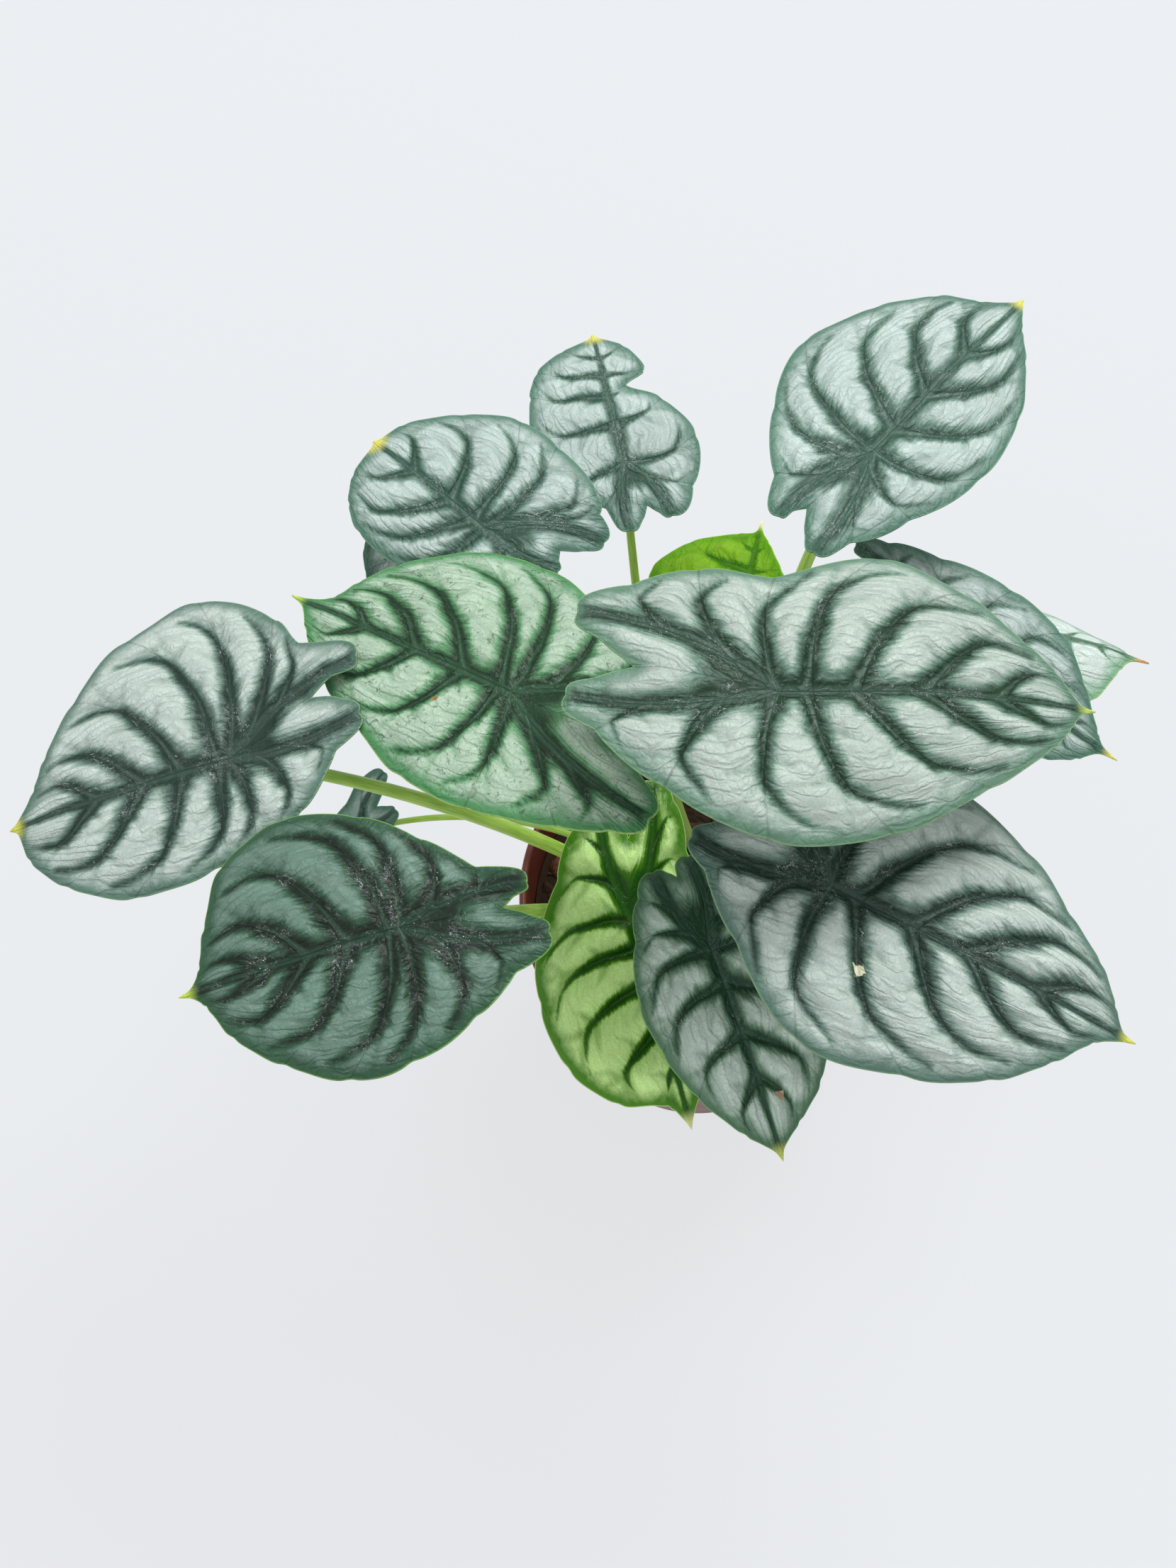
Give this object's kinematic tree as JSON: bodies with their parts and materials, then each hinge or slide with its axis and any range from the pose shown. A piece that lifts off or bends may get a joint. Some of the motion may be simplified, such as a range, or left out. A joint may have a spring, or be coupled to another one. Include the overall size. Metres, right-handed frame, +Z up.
{
  "type": "potted silver dragon alocasia",
  "caption": "Small aroid house plant with puffed, silver, heart-shaped leaves on long upright stalks, growing in a tapered nursery pot.",
  "frame": {"origin": "centre of the pot's flat underside", "axes": "+Z up along the pot's axis; +Y away from the side that the plant is seen from; +X to that viewer's right"},
  "size_m": [0.3203, 0.2539, 0.2875],
  "materials": {
    "pot": "moulded brick-red plastic, satin",
    "potting_mix": "moist bark and peat, rough",
    "fired_clay": "unglazed fired clay, dusty",
    "petiole": "smooth green leaf stalk, waxy",
    "silver_blade": "thick silver-green leaf with dark veins, waxy satin",
    "young_blade": "young yellow-green leaf, glossy"
  },
  "bodies": {
    "root": {"pot": "pot", "potting_mix": "potting_mix", "clay_pebble_01": "fired_clay", "clay_pebble_02": "fired_clay", "clay_pebble_03": "fired_clay", "clay_pebble_04": "fired_clay", "clay_pebble_05": "fired_clay", "clay_pebble_06": "fired_clay", "clay_pebble_07": "fired_clay", "clay_pebble_08": "fired_clay", "clay_pebble_09": "fired_clay", "clay_pebble_10": "fired_clay", "petiole_crown": "petiole", "blade_crown": "silver_blade", "petiole_mid_left": "petiole", "blade_mid_left": "silver_blade", "petiole_far_left": "petiole", "blade_far_left": "silver_blade", "petiole_front_left": "petiole", "blade_front_left": "silver_blade", "petiole_front_right": "petiole", "blade_front_right": "silver_blade", "petiole_front_dark": "petiole", "blade_front_dark": "silver_blade", "petiole_front_young": "petiole", "blade_front_young": "young_blade", "petiole_back_right": "petiole", "blade_back_right": "silver_blade", "petiole_back_bitten": "petiole", "blade_back_bitten": "silver_blade", "petiole_back_left": "petiole", "blade_back_left": "silver_blade", "petiole_right": "petiole", "blade_right": "silver_blade", "petiole_right_small": "petiole", "blade_right_small": "young_blade", "petiole_back_young": "petiole", "blade_back_young": "young_blade", "petiole_low_small": "petiole", "blade_low_small": "silver_blade", "petiole_back_left_small": "petiole", "blade_back_left_small": "silver_blade"}
  },
  "joints": []
}
